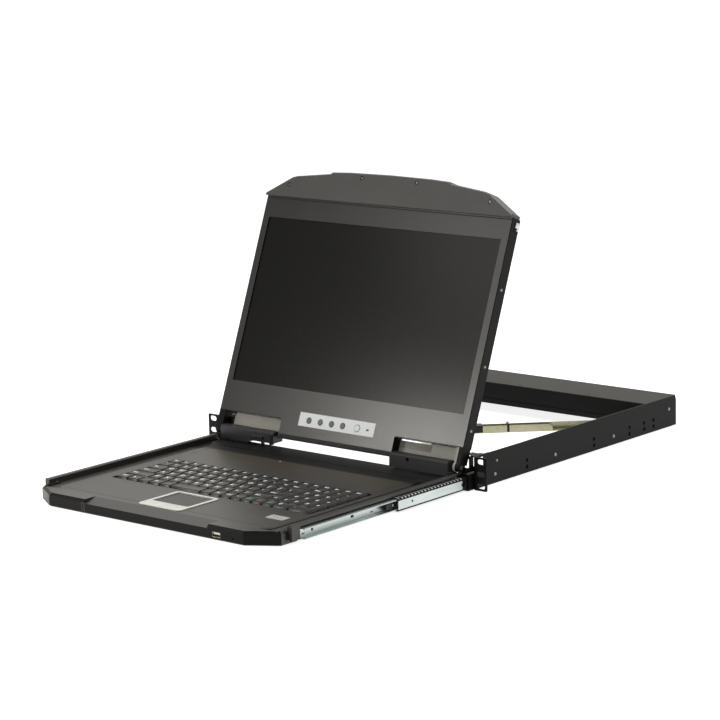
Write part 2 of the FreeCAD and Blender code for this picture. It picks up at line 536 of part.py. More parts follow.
lid_screws = [screw((x, -3.2, s), (0, 1, 0), 2.6, 1.4, 1.0, 8) for x, s in GRIP_SCREWS]
for s in (55, 139, 240):
    for sx in (-1, 1):
        lid_screws.append(screw((sx * LCD_X, 8, s), (-sx, 0, 0), 2.3, 1.4, 1.0, 4))
save("lcd_screws", *[on_lcd(s) for s in lid_screws])

# hinge leaf: plate in the notch, carried by a lug that turns on the fixed pin
S_AXIS = 7.19
T_AXIS = 5.56
leaf = box(98.6, 201, 13.6, 15.6, 12, NOTCH_S)
lug = box(201, 211.4, 0.5, 11.5, S_AXIS, NOTCH_S).fuse(box(201, 211.4, 0.5, 15.6, 20, NOTCH_S))
lug = lug.fuse(small_rod((201, T_AXIS, S_AXIS), (211.4, T_AXIS, S_AXIS), 6.5, 16))
leaf = leaf.fuse(lug).removeSplitter()
leaf = leaf.cut(rod((200, T_AXIS, S_AXIS), (213, T_AXIS, S_AXIS), 3.05))
slant = prism_y([(98, 21.6), (146, 23.2), (150, 33), (98, 33)], 13, 16)
corner = prism_y([(-200.9, 24.6), (-193, 24.0), (-190, 33), (-200.9, 33)], 13, 16)
save("hinge_leaves", on_lcd(leaf.cut(slant)), on_lcd(mirrored(leaf).cut(corner)))

# ---- cable arm: two channel links that fold across the width ----------------------------
def link(z_web, z_top, near, far, length):
    """Channel along local X from its pivot; near and far flanges start at those stations."""
    web = box(0, length, -7, 7, z_web, z_web + 1.0)
    web = web.fuse([small_rod((x, 0, z_web), (x, 0, z_web + 1.0), 7 * math.cos(math.pi / 16), 16)
                    for x in (0, length)])
    foot = z_web if z_top > z_web else z_web + 1.0
    slope = 4.0 if z_top > z_web else -4.0
    for start, y0, y1 in ((near, 6, 7), (far, -7, -6)):
        end = length - 14
        web = web.fuse(prism_y([(start, foot), (start, z_top - slope), (start + 4, z_top), (end - 4, z_top),
                                (end, z_top - slope), (end, foot)], y0, y1))
    return web.removeSplitter()


def placed_link(shape, y, angle):
    turned = shape.copy()
    turned.rotate(V(0, 0, 0), V(0, 0, 1), angle)
    turned.translate(V(ARM_X, y, 0))
    return turned


front_link = link(8.4, 2.7, 14, 14, ARM_L)
front_link = front_link.cut([rod((0, 0, 0), (0, 0, 12), 2.55), rod((ARM_L, 0, 0), (ARM_L, 0, 12), 2.8)])
save("arm_link_front", placed_link(front_link, 0.0, 180 - ARM_ANGLE))

rear_link = link(10.0, 20.0, 85, 16, ARM_L)
rear_link = rear_link.cut(rod((0, 0, 9), (0, 0, 22), 2.55))
rivet = rod((ARM_L, 0, 9.75), (ARM_L, 0, 12.4), 2.5).fuse(small_rod((ARM_L, 0, 11), (ARM_L, 0, 12.6), 4.2, 8))
rear_link = rear_link.fuse(rivet).removeSplitter()
save("arm_link_rear", placed_link(rear_link, ARM_REAR_Y, 180 + ARM_ANGLE))

clips = []
for start, stop, top in ((ARM_L - 116.8, ARM_L - 113.8, 22.4), (ARM_L - 80, ARM_L - 68, 21.2)):
    hoop = box(start, stop, -8, 8, 11.2, top).cut(box(start - 1, stop + 1, -7, 7, 11, top - 1.0))
    clips.append(placed_link(hoop, ARM_REAR_Y, 180 + ARM_ANGLE))
save("arm_clips", *clips)

foot = box(ARM_X - 9, ARM_X + 9, TRAY_REAR, TRAY_REAR + 1.2, 0.8, 13.0)
foot = foot.fuse(box(ARM_X - 9, ARM_X + 9, TRAY_REAR, 0, 0.8, 2.0))
foot = foot.fuse([small_rod((ARM_X, 0, 0.8), (ARM_X, 0, 2.0), 9 * math.cos(math.pi / 16), 16),
                  rod((ARM_X, 0, 0.8), (ARM_X, 0, 9.7), 2.5)])
save("arm_bracket_front", foot.removeSplitter())

rear = box(ARM_X - 9, ARM_X + 9, BOX_Y - 2.4, BOX_Y - 1.2, 12.5, 21.8)
rear = rear.fuse(box(ARM_X - 9, ARM_X + 9, ARM_REAR_Y, BOX_Y - 1.2, 20.6, 21.8))
rear = rear.fuse([small_rod((ARM_X, ARM_REAR_Y, 20.6), (ARM_X, ARM_REAR_Y, 21.8),
                            9 * math.cos(math.pi / 16), 16),
                  rod((ARM_X, ARM_REAR_Y, 9.9), (ARM_X, ARM_REAR_Y, 21.8), 2.5)])
save("arm_bracket_rear", rear.removeSplitter())
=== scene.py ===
# %% [markdown]
# # A rack drawer with a keyboard and a fold-up screen
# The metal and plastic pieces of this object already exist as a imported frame, with their
# real sizes and joints.  This lesson dresses that frame: it gives each piece the finish
# its real counterpart has, and models what is too fine for the frame, such as rounded key
# caps, legends, steel balls and the moulded grille.  Everything is in metres, in the
# frame's own axes: X across the rack, Y into the rack, Z up.

# %% Load the frame
import math

import bpy
from mathutils import Matrix, Vector


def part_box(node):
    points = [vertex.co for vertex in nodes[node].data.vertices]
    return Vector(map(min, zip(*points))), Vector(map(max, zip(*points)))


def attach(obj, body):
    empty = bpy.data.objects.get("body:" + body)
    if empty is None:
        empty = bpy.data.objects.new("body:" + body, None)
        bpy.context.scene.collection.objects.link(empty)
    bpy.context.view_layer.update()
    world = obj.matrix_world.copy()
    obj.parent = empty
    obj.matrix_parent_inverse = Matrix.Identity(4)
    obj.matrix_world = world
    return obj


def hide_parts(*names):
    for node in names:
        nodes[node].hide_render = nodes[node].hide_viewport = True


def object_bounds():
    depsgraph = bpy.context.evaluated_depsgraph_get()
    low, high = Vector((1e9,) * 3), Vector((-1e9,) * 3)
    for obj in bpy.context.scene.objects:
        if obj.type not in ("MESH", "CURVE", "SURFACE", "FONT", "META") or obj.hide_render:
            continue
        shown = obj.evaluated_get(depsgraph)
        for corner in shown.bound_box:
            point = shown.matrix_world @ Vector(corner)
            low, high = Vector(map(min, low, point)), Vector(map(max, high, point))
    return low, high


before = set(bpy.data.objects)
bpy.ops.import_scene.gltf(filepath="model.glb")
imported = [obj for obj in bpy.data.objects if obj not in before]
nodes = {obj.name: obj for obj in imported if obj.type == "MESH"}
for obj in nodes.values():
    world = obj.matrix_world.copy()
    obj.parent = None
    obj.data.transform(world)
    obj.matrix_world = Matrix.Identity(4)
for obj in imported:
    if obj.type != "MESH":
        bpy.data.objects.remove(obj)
cad_low, cad_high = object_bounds()
HALF_UNIT = 0.04365 / 2          # the origin is half a rack unit above the underside
print("frame loaded:", len(nodes), "nodes, size", [round(v, 3) for v in cad_high - cad_low])

# %% [markdown]
# ## The camera
# The camera stands to the right of the drawer and a little above it, far away with a long
# lens, so that the screen hardly narrows towards the top.  It is placed from three angles:
# yaw round the object, pitch down and a slight roll.  The three columns of its matrix are
# its own right, up and backward directions.

# %% Camera
YAW_DEG, PITCH_DEG, ROLL_DEG = 40.458, 11.113, -1.404
yaw, pitch, roll = (math.radians(angle) for angle in (YAW_DEG, PITCH_DEG, ROLL_DEG))
CAMERA_AT = Vector((2.2635, -2.6123, 0.8230 - HALF_UNIT))
LENS_MM = 133.98
back = Vector((math.sin(yaw) * math.cos(pitch), -math.cos(yaw) * math.cos(pitch), math.sin(pitch)))
right = (-back).cross(Vector((0, 0, 1))).normalized()
up = right.cross(-back)
right_rolled = right * math.cos(roll) + up * math.sin(roll)
up_rolled = -right * math.sin(roll) + up * math.cos(roll)
camera = bpy.data.objects.new("camera", bpy.data.cameras.new("camera"))
camera.data.lens = LENS_MM
camera.data.sensor_width = 36.0      # millimetres, as is the lens
camera.data.clip_end = 50.0
camera.matrix_world = Matrix.Translation(CAMERA_AT) @ Matrix(
    (right_rolled, up_rolled, back)).transposed().to_4x4()
bpy.context.scene.collection.objects.link(camera)
bpy.context.scene.camera = camera
bpy.context.scene.view_settings.view_transform = "Standard"

# %% [markdown]
# ## Helpers for colours and nodes
# Colours are written as the hex values that a paint chart would give, and one function
# turns them to the linear numbers that a shader expects.  A second function adds a node
# with its settings and links, so that a material reads as a short list of steps.

# %% Colour and node helpers
def colour(hex_code):
    channels = [int(hex_code[i:i + 2], 16) / 255 for i in (1, 3, 5)]
    linear = [c / 12.92 if c <= 0.04045 else ((c + 0.055) / 1.055) ** 2.4 for c in channels]
    return (*linear, 1.0)


def add(tree, kind, settings=None, links=None):
    node = tree.nodes.new(kind)
    for key, value in (settings or {}).items():
        if isinstance(key, int) or key in node.inputs:
            node.inputs[key].default_value = value
        else:
            setattr(node, key, value)
    for key, source in (links or {}).items():
        tree.links.new(source, node.inputs[key])
    return node


def new_material(name):
    material = bpy.data.materials.new(name)
    material.use_nodes = True
    material.node_tree.nodes.clear()
    return material, material.node_tree


# %% [markdown]
# ## A family of moulded and coated finishes
# Powder coat, grained ABS and painted sheet differ in three things: how far the colour
# drifts over the surface, how coarse the texture is, and how rough the sheen is.  One
# function mixes two tones through a wide noise, and raises a fine noise as relief; it can
# also paint level faces paler, as painted light on tops.  The grain sizes are real ones in
# millimetres, made as coarse as needed to show at this distance.

# %% Surface finish
MM = 0.001


def surface(name, tones, grain_mm, relief, rough, drift_mm=60.0, metallic=0.0, stretch=(1, 1, 1),
            specular=0.5, coat=0.0, painted_top_light=0.0):
    """tones are two hex colours and rough two roughness values that the drift moves between;
    painted_top_light is how far level faces go towards a pale grey, as painted light on tops."""
    material, tree = new_material(name)
    place = add(tree, "ShaderNodeTexCoord").outputs["Object"]
    stretched = add(tree, "ShaderNodeMapping", {"Scale": stretch}, {"Vector": place}).outputs[0]
    drift = add(tree, "ShaderNodeTexNoise", {"Scale": 1 / (drift_mm * MM), "Detail": 3.0},
                {"Vector": place}).outputs["Fac"]
    grain = add(tree, "ShaderNodeTexNoise", {"Scale": 1 / (grain_mm * MM), "Detail": 2.0},
                {"Vector": stretched}).outputs["Fac"]
    both = add(tree, "ShaderNodeMix", {"data_type": "FLOAT", "Factor": 0.35},
               {2: drift, 3: grain}).outputs[0]
    ramp = add(tree, "ShaderNodeValToRGB", {}, {"Fac": both})
    ramp.color_ramp.elements[0].position = 0.3
    ramp.color_ramp.elements[1].position = 0.7
    ramp.color_ramp.elements[0].color = colour(tones[0])
    ramp.color_ramp.elements[1].color = colour(tones[1])
    tone = ramp.outputs[0]
    # Faces that look up are mixed towards a pale grey: painted light on tops.
    if painted_top_light:
        facing = add(tree, "ShaderNodeSeparateXYZ", {},
                     {0: add(tree, "ShaderNodeNewGeometry").outputs["Normal"]}).outputs[2]
        top_light_share = add(tree, "ShaderNodeMapRange", {"From Min": 0.6, "From Max": 1.0, "To Max": painted_top_light},
                      {"Value": facing}).outputs[0]
        tone = add(tree, "ShaderNodeMix", {"data_type": "RGBA", 7: colour("#8a8a80")},
                   {"Factor": top_light_share, 6: tone}).outputs[2]
    sheen = add(tree, "ShaderNodeMapRange", {"To Min": rough[0], "To Max": rough[1]},
                {"Value": both}).outputs[0]
    bump = add(tree, "ShaderNodeBump", {"Strength": relief, "Distance": 0.0002},
               {"Height": grain}).outputs[0]
    shader = add(tree, "ShaderNodeBsdfPrincipled",
                 {"Metallic": metallic, "Specular IOR Level": specular, "Coat Weight": coat},
                 {"Base Color": tone, "Roughness": sheen, "Normal": bump})
    add(tree, "ShaderNodeOutputMaterial", {}, {"Surface": shader.outputs[0]})
    return material


# Powder coat: pigment and resin baked on steel; a dull sheen over a fine orange peel, with level faces painted paler
# as light falling on tops.
powder_coat = surface("black_powder_coat", ("#0b0b0a", "#0f0f0e"), 1.6, 0.2, (0.46, 0.56),
                      specular=0.14, painted_top_light=0.14)
# The same coat in charcoal on the lid's sheet metal: smoother, so it picks up soft light.
lid_paint = surface("charcoal_lid_paint", ("#1f1e1c", "#252422"), 1.1, 0.14, (0.3, 0.36), specular=0.85)
# The lid's upper handle is moulded, and a shade lighter than the sheet metal below it.
lid_plastic = surface("lid_handle_plastic", ("#474543", "#4f4d4b"), 1.1, 0.14, (0.42, 0.5), specular=0.6)
# Spark-eroded ABS: the mould's fine grain makes the palm rest matt and slightly warm.
grained_abs = surface("grained_abs_deck", ("#26241f", "#2e2b26"), 0.9, 0.2, (0.36, 0.46), specular=0.6)
# Untextured ABS for the hinge covers: a shade cooler, with a softer highlight.
smooth_abs = surface("smooth_abs_hinge", ("#242225", "#2a282b"), 1.4, 0.08, (0.34, 0.42), specular=0.5)
# Acetal levers and clips are self-coloured black with a waxy sheen.
acetal = surface("black_acetal", ("#0d0d0d", "#131312"), 2.0, 0.1, (0.32, 0.42), specular=0.3)
# Silver lacquer on ABS: metal flakes in a clear coat; bright but not mirror-like.
silver_lacquer = surface("silver_lacquer", ("#cfcfc6", "#dcdcd4"), 0.8, 0.06, (0.3, 0.4),
                         metallic=0.25, coat=0.3)
# The dull pad under the finger is a textured polycarbonate film.
pad_film = surface("touchpad_film", ("#3b3b38", "#454542"), 0.5, 0.3, (0.5, 0.6))
# Bright zinc plating: rolled steel with fine drawing lines along the slide.
zinc = surface("bright_zinc_plating", ("#bfc8c6", "#d9e1df"), 2.2, 0.08, (0.3, 0.42),
               metallic=0.7, stretch=(1, 0.06, 1))
# Yellow-passivated zinc on the cable arm: warmer and a little cloudier.
yellow_zinc = surface("yellow_passivated_zinc", ("#a9a585", "#c9c6aa"), 5.0, 0.05, (0.28, 0.42),
                      metallic=0.8)
# Turned and nickel-plated screws and pins.
screw_steel = surface("nickel_screws", ("#75756f", "#8f8f89"), 0.8, 0.06, (0.3, 0.42), metallic=0.9)
# Phosphated spring steel of the ball cages: dark and dull.
cage_steel = surface("phosphated_cage", ("#2c2c2b", "#3a3a38"), 1.0, 0.2, (0.42, 0.55), metallic=0.6)
print("finishes made:", len(bpy.data.materials))

# %% [markdown]
# ## Moulded grille in the handle
# The right end of the handle is dimpled in a square grid, and the left end carries fine
# level ribs.  Both are shallow and repeat a few hundred times, so they are drawn by the
# material instead of being cut, their hollows sunk by bump and painted near black as shade.
# The grid comes from the fractional part of the position divided by its pitch; the distance
# to each cell's centre gives a round dimple.

# %% Handle material
GRILLE_PITCH = 3.1 * MM
GRILLE_RISE = 0.6 * MM            # lifts the grid, so that whole dimples fill the face
DIMPLE_SHARE = 0.33               # radius of a dimple, in pitches
GRILLE_FROM = 131 * MM            # the grille lies to the right of this line,
RIBS_UNTIL = -168 * MM            # and the ribs to the left of this one
RIB_PITCH = 2.4 * MM
PATTERN_TOP = 14.8 * MM - HALF_UNIT


def handle_material():
    material, tree = new_material("grained_abs_handle_with_grille")
    place = add(tree, "ShaderNodeTexCoord").outputs["Object"]
    axes = add(tree, "ShaderNodeSeparateXYZ", {}, {0: place}).outputs
    # Adding 100 cells keeps the position positive, where a fractional part counts upwards.
    cells = []
    for axis, offset in ((0, 0.0), (2, GRILLE_RISE)):
        scaled = add(tree, "ShaderNodeMath",
                     {"operation": "MULTIPLY_ADD", 1: 1 / GRILLE_PITCH, 2: 100 + offset / GRILLE_PITCH},
                     {0: axes[axis]}).outputs[0]
        part = add(tree, "ShaderNodeMath", {"operation": "FRACT"}, {0: scaled}).outputs[0]
        cells.append(add(tree, "ShaderNodeMath", {"operation": "SUBTRACT", 1: 0.5}, {0: part}).outputs[0])
    centre = add(tree, "ShaderNodeCombineXYZ", {}, {0: cells[0], 1: cells[1]}).outputs[0]
    reach = add(tree, "ShaderNodeVectorMath", {"operation": "LENGTH"}, {0: centre}).outputs["Value"]
    dimple = add(tree, "ShaderNodeMath", {"operation": "LESS_THAN", 1: DIMPLE_SHARE}, {0: reach}).outputs[0]
    level = add(tree, "ShaderNodeMath", {"operation": "MULTIPLY_ADD", 1: 1 / RIB_PITCH, 2: 100.0},
                {0: axes[2]}).outputs[0]
    rib_part = add(tree, "ShaderNodeMath", {"operation": "FRACT"}, {0: level}).outputs[0]
    rib = add(tree, "ShaderNodeMath", {"operation": "LESS_THAN", 1: 0.4}, {0: rib_part}).outputs[0]
    on_right = add(tree, "ShaderNodeMath", {"operation": "GREATER_THAN", 1: GRILLE_FROM},
                   {0: axes[0]}).outputs[0]
    on_left = add(tree, "ShaderNodeMath", {"operation": "LESS_THAN", 1: RIBS_UNTIL}, {0: axes[0]}).outputs[0]
    below = add(tree, "ShaderNodeMath", {"operation": "LESS_THAN", 1: PATTERN_TOP}, {0: axes[2]}).outputs[0]
    facing = add(tree, "ShaderNodeSeparateXYZ", {},
                 {0: add(tree, "ShaderNodeNewGeometry").outputs["Normal"]}).outputs
    front = add(tree, "ShaderNodeMath", {"operation": "LESS_THAN", 1: -0.4}, {0: facing[1]}).outputs[0]
    dots = add(tree, "ShaderNodeMath", {"operation": "MULTIPLY"}, {0: dimple, 1: on_right}).outputs[0]
    ribs = add(tree, "ShaderNodeMath", {"operation": "MULTIPLY"}, {0: rib, 1: on_left}).outputs[0]
    marks = add(tree, "ShaderNodeMath", {"operation": "ADD"}, {0: dots, 1: ribs}).outputs[0]
    for limit in (front, below):
        marks = add(tree, "ShaderNodeMath", {"operation": "MULTIPLY"}, {0: marks, 1: limit}).outputs[0]
    grain = add(tree, "ShaderNodeTexNoise", {"Scale": 900.0, "Detail": 2.0}, {"Vector": place}).outputs["Fac"]
    base = add(tree, "ShaderNodeMix", {"data_type": "RGBA", 6: colour("#151412"), 7: colour("#1b1a18")},
               {"Factor": grain}).outputs[2]
    # Dimples and rib grooves are painted near black: painted shade in the hollows.
    tone = add(tree, "ShaderNodeMix", {"data_type": "RGBA", 7: colour("#080808")},
               {"Factor": marks, 6: base}).outputs[2]
    height = add(tree, "ShaderNodeMath", {"operation": "MULTIPLY_ADD", 1: -3.0},
                 {0: marks, 2: grain}).outputs[0]
    bump = add(tree, "ShaderNodeBump", {"Strength": 0.3, "Distance": 0.0002}, {"Height": height}).outputs[0]
    # Level faces get more gloss than the front, which would otherwise mirror the pale floor.
    gloss = add(tree, "ShaderNodeMapRange", {"To Min": 0.65, "To Max": 0.1}, {"Value": front}).outputs[0]
    shader = add(tree, "ShaderNodeBsdfPrincipled", {"Roughness": 0.36},
                 {"Base Color": tone, "Normal": bump, "Specular IOR Level": gloss})
    add(tree, "ShaderNodeOutputMaterial", {}, {"Surface": shader.outputs[0]})
    return material


handle_finish = handle_material()

# %% [markdown]
# ## Pieces with two finishes
# The hinge leaves are dull grey steel between the notch's edges and black where they turn
# into the hinge lugs.  The middle slides are bright zinc with a blackened upper edge, in
# which the ball cage's notches show as bright dashes, and a black foot of painted shade.  The
# deck behind its indicator strip is smooth and painted darker as shade, and the bezel's sides
# are painted near black as shade, with a duller sheen than its front.  Each is made from two
# finishes and a mask: a place in the piece, or the way a face looks, decides which shows.

# %% Two finishes in one piece
def split_material(name, main, other, mask):
    """Copies main, adds other's nodes beside it and mixes them by mask(tree, axes)."""
    material = main.copy()
    material.name = name
    tree = material.node_tree
    first = next(n for n in tree.nodes if n.bl_idname == "ShaderNodeBsdfPrincipled")
    donor = next(n for n in other.node_tree.nodes if n.bl_idname == "ShaderNodeBsdfPrincipled")
    ramp = next(n for n in other.node_tree.nodes if n.bl_idname == "ShaderNodeValToRGB")
    tones = ramp.color_ramp.elements
    drift = add(tree, "ShaderNodeTexNoise", {"Scale": 40.0, "Detail": 3.0},
                {"Vector": add(tree, "ShaderNodeTexCoord").outputs["Object"]}).outputs["Fac"]
    tone = add(tree, "ShaderNodeMix", {"data_type": "RGBA", 6: tones[0].color, 7: tones[1].color},
               {"Factor": drift}).outputs[2]
    second = add(tree, "ShaderNodeBsdfPrincipled",
                 {"Roughness": 0.5, "Specular IOR Level": donor.inputs["Specular IOR Level"].default_value},
                 {"Base Color": tone})
    axes = add(tree, "ShaderNodeSeparateXYZ", {},
               {0: add(tree, "ShaderNodeTexCoord").outputs["Object"]}).outputs
    both = add(tree, "ShaderNodeMixShader", {},
               {0: mask(tree, axes), 1: first.outputs[0], 2: second.outputs[0]})
    output = next(n for n in tree.nodes if n.bl_idname == "ShaderNodeOutputMaterial")
    tree.links.new(both.outputs[0], output.inputs[0])
    return material


def lug_mask(tree, axes):
    """Both ends of the leaves, where they turn into the hinge lugs."""
    right_end = add(tree, "ShaderNodeMath", {"operation": "GREATER_THAN", 1: 204.5 * MM},
                    {0: axes[0]}).outputs[0]
    left_end = add(tree, "ShaderNodeMath", {"operation": "LESS_THAN", 1: -192.5 * MM},
                   {0: axes[0]}).outputs[0]
    return add(tree, "ShaderNodeMath", {"operation": "MAXIMUM"}, {0: right_end, 1: left_end}).outputs[0]


DASH_PITCH = 6.5 * MM             # pitch of the ball cage's notches
DASH_SHIFT = 100.35               # in pitches; the whole part only keeps the sum positive


def rack_mask(tree, axes):
    """Black above the web's bright band, but for a dash at each notch, and black at foot and tail; the black foot is
    painted shade of the lower flange.
    """
    above = add(tree, "ShaderNodeMath", {"operation": "GREATER_THAN", 1: 15.8 * MM - HALF_UNIT},
                {0: axes[2]}).outputs[0]
    step = add(tree, "ShaderNodeMath", {"operation": "MULTIPLY_ADD", 1: 1 / DASH_PITCH, 2: DASH_SHIFT},
               {0: axes[1]}).outputs[0]
    part = add(tree, "ShaderNodeMath", {"operation": "FRACT"}, {0: step}).outputs[0]
    notch = add(tree, "ShaderNodeMath", {"operation": "GREATER_THAN", 1: 0.62}, {0: part}).outputs[0]
    high = add(tree, "ShaderNodeMath", {"operation": "GREATER_THAN", 1: -4 * MM}, {0: axes[2]}).outputs[0]
    dash = add(tree, "ShaderNodeMath", {"operation": "MULTIPLY"}, {0: notch, 1: high}).outputs[0]
    plain = add(tree, "ShaderNodeMath", {"operation": "LESS_THAN", 1: 0.5}, {0: dash}).outputs[0]
    rack = add(tree, "ShaderNodeMath", {"operation": "MULTIPLY"}, {0: above, 1: plain}).outputs[0]
    # Below 4.6 mm the web is painted black: painted shade of the lower flange.
    foot = add(tree, "ShaderNodeMath", {"operation": "LESS_THAN", 1: 4.6 * MM - HALF_UNIT},
               {0: axes[2]}).outputs[0]
    tail = add(tree, "ShaderNodeMath", {"operation": "GREATER_THAN", 1: -20.5 * MM},
               {0: axes[1]}).outputs[0]
    for end in (tail, foot):
        rack = add(tree, "ShaderNodeMath", {"operation": "MAXIMUM"}, {0: rack, 1: end}).outputs[0]
    return rack


def rear_shade_mask(tree, axes):
    """The deck behind the indicator strip, but for its side rims: smooth, and darkened as painted shade."""
    across = add(tree, "ShaderNodeMath", {"operation": "ABSOLUTE"}, {0: axes[0]}).outputs[0]
    inside = add(tree, "ShaderNodeMath", {"operation": "LESS_THAN", 1: 203.5 * MM}, {0: across}).outputs[0]
    fade = add(tree, "ShaderNodeMapRange", {"interpolation_type": "SMOOTHSTEP", "From Min": -85 * MM,
                                            "From Max": -66 * MM}, {"Value": axes[1]}).outputs[0]
    return add(tree, "ShaderNodeMath", {"operation": "MULTIPLY"}, {0: inside, 1: fade}).outputs[0]


def side_shade_mask(tree, axes):
    """Faces that look left or right."""
    facing = add(tree, "ShaderNodeSeparateXYZ", {},
                 {0: add(tree, "ShaderNodeNewGeometry").outputs["Normal"]}).outputs[0]
    sideways = add(tree, "ShaderNodeMath", {"operation": "ABSOLUTE"}, {0: facing}).outputs[0]
    return add(tree, "ShaderNodeMath", {"operation": "GREATER_THAN", 1: 0.7}, {0: sideways}).outputs[0]


# Behind the indicator strip the deck is painted darker: painted shade.
deck_finish = split_material("grained_deck_with_painted_rear_shade", grained_abs, powder_coat, rear_shade_mask)
# The bezel's narrow sides take the chassis' near-black dull coat as painted shade on the faces that look left or
# right; only its front is the smoother one.
bezel_finish = split_material("lid_paint_with_painted_side_shade", lid_paint, powder_coat, side_shade_mask)
# The leaves are rolled steel, zinc-greyed: pale and matt beside the paint.
leaf_steel = surface("dull_grey_leaf_steel", ("#9d9b92", "#b0aea5"), 2.5, 0.06, (0.42, 0.52),
                     stretch=(0.1, 1, 1), specular=0.3)
leaf_finish = split_material("leaf_steel_with_black_lugs", leaf_steel, powder_coat, lug_mask)
rack_zinc = split_material("zinc_with_blackened_rack", zinc, powder_coat, rack_mask)

# %% [markdown]
# ## The screen
# A liquid-crystal panel that is off shows almost black, slightly olive, behind a hard
# anti-glare film.  The film is what the eye sees: a wide, soft reflection over a deep
# tone.  A very fine noise in the relief stands for its etched surface.

# %% Screen material
def screen_material():
    material, tree = new_material("anti_glare_screen")
    place = add(tree, "ShaderNodeTexCoord").outputs["Object"]
    etch = add(tree, "ShaderNodeTexNoise", {"Scale": 2500.0, "Detail": 1.0}, {"Vector": place}).outputs["Fac"]
    haze = add(tree, "ShaderNodeTexNoise", {"Scale": 3.0, "Detail": 1.0}, {"Vector": place}).outputs["Fac"]
    tone = add(tree, "ShaderNodeMix", {"data_type": "RGBA", 6: colour("#0b0b08"), 7: colour("#11110d")},
               {"Factor": haze}).outputs[2]
    sheen = add(tree, "ShaderNodeMapRange", {"To Min": 0.25, "To Max": 0.3}, {"Value": etch}).outputs[0]
    bump = add(tree, "ShaderNodeBump", {"Strength": 0.04, "Distance": 0.0001}, {"Height": etch}).outputs[0]
    shader = add(tree, "ShaderNodeBsdfPrincipled", {"Specular IOR Level": 0.3},
                 {"Base Color": tone, "Roughness": sheen, "Normal": bump})
    add(tree, "ShaderNodeOutputMaterial", {}, {"Surface": shader.outputs[0]})
    return material


screen_finish = screen_material()
# Smoked acrylic over the indicator strip: olive brown, glossy, with a soft depth.
smoked_acrylic = surface("smoked_acrylic_strip", ("#3a352d", "#433d34"), 3.0, 0.02, (0.34, 0.42),
                         specular=0.3)
# White lacquered film of the menu plate, a darker copy of the keys' grey-green as painted shade in the grooves round
# them, and the keys' rubber.
plate_film = surface("white_film_plate", ("#eef2f4", "#f6f9fa"), 1.5, 0.02, (0.35, 0.42))
groove_shade = surface("painted_groove_shade", ("#3b403d", "#474d49"), 0.7, 0.1, (0.5, 0.6))
grey_rubber = surface("grey_green_silicone", ("#5f6b63", "#78847b"), 0.7, 0.15, (0.5, 0.6))
# Key caps are ABS polished by fingers: a little glossier than the deck around them.
key_abs = surface("key_cap_abs", ("#1f1e1c", "#262522"), 1.2, 0.1, (0.34, 0.44), specular=0.45)
teal_abs = surface("teal_key_abs", ("#3f6b66", "#4a7771"), 1.2, 0.1, (0.34, 0.44), specular=0.45)
maroon_abs = surface("maroon_key_abs", ("#5a4041", "#664a4a"), 1.2, 0.1, (0.34, 0.44), specular=0.45)
# Printed legends, the sheet steel of the sockets, a lamp's lens, polished steel, a dark well.
legend_ink = surface("white_legend_ink", ("#e2e2de", "#f2f2ef"), 0.6, 0.02, (0.5, 0.6))
shell_steel = surface("socket_shell_steel", ("#b8b4a8", "#d0ccc0"), 0.8, 0.03, (0.25, 0.35), metallic=0.8)
red_lens = surface("dark_red_lens", ("#2a1a1a", "#3a2220"), 0.5, 0.02, (0.2, 0.3))
ball_steel = surface("polished_ball_steel", ("#c4c8c8", "#dde0e0"), 0.5, 0.01, (0.12, 0.2), metallic=0.95)
# The dark well's near-black also makes the lid's strips of painted shadow.
well_and_shadow_black = surface("key_well_and_painted_shadow_black", ("#0d0d0d", "#141413"), 1.0, 0.1, (0.6, 0.7))

# %% [markdown]
# ## Finish each piece of the frame
# The frame's pieces keep their shapes.  Each one only exchanges its plain material for
# the finish its real counterpart has.

# %% Assign the finishes
finishes = {
    powder_coat: ["side_wall_left", "side_wall_right", "rear_box_cover", "rear_box_base", "guide_brackets",
                  "slide_outer_left", "slide_outer_right", "tray_pan", "arm_bracket_front",
                  "arm_bracket_rear", "lcd_back_cover"],
    bezel_finish: ["lcd_bezel"],
    lid_plastic: ["upper_handle"],
    leaf_finish: ["hinge_leaves"],
    deck_finish: ["deck"],
    handle_finish: ["front_handle"],
    smooth_abs: ["hinge_cover_left", "hinge_cover_right"],
    acetal: ["slide_lever_left", "slide_lever_right", "arm_clips", "power_inlet", "power_rocker"],
    silver_lacquer: ["touchpad_frame", "touchpad_button_left", "touchpad_button_right", "lock_plate"],
    pad_film: ["touchpad"],
    zinc: ["slide_inner_left", "slide_inner_right"],
    rack_zinc: ["slide_middle_left", "slide_middle_right"],
    yellow_zinc: ["arm_link_front", "arm_link_rear"],
    screw_steel: ["chassis_screws", "lcd_screws", "hinge_pins"],
    cage_steel: ["cage_outer_left", "cage_outer_right", "cage_inner_left", "cage_inner_right"],
    screen_finish: ["lcd_panel"],
    smoked_acrylic: ["status_strip"],
    plate_film: ["osd_plate", "power_button"],
    grey_rubber: ["osd_button_1", "osd_button_2", "osd_button_3", "osd_button_4"],
    shell_steel: ["usb_port", "console_port"],
    well_and_shadow_black: ["key_bed"],
}
for material, names in finishes.items():
    for name in names:
        for slot in nodes[name].material_slots:
            slot.material = material
dressed = sum(len(names) for names in finishes.values())
print("dressed", dressed, "of", len(nodes), "nodes")

# %% [markdown]
# ## Helpers for modelling by operators
# Blender's edit-mode operators act on whatever is selected, so each step starts by
# clearing the selection and picking faces by their place.  When a piece is done its
# transforms are applied, so that its object sits at the origin like a frame node.

# %% Modelling helpers
def deselect():
    if bpy.context.mode != "OBJECT":
        bpy.ops.object.mode_set(mode="OBJECT")
    bpy.ops.object.select_all(action="DESELECT")


def make_active(piece):
    deselect()
    piece.select_set(True)
    bpy.context.view_layer.objects.active = piece


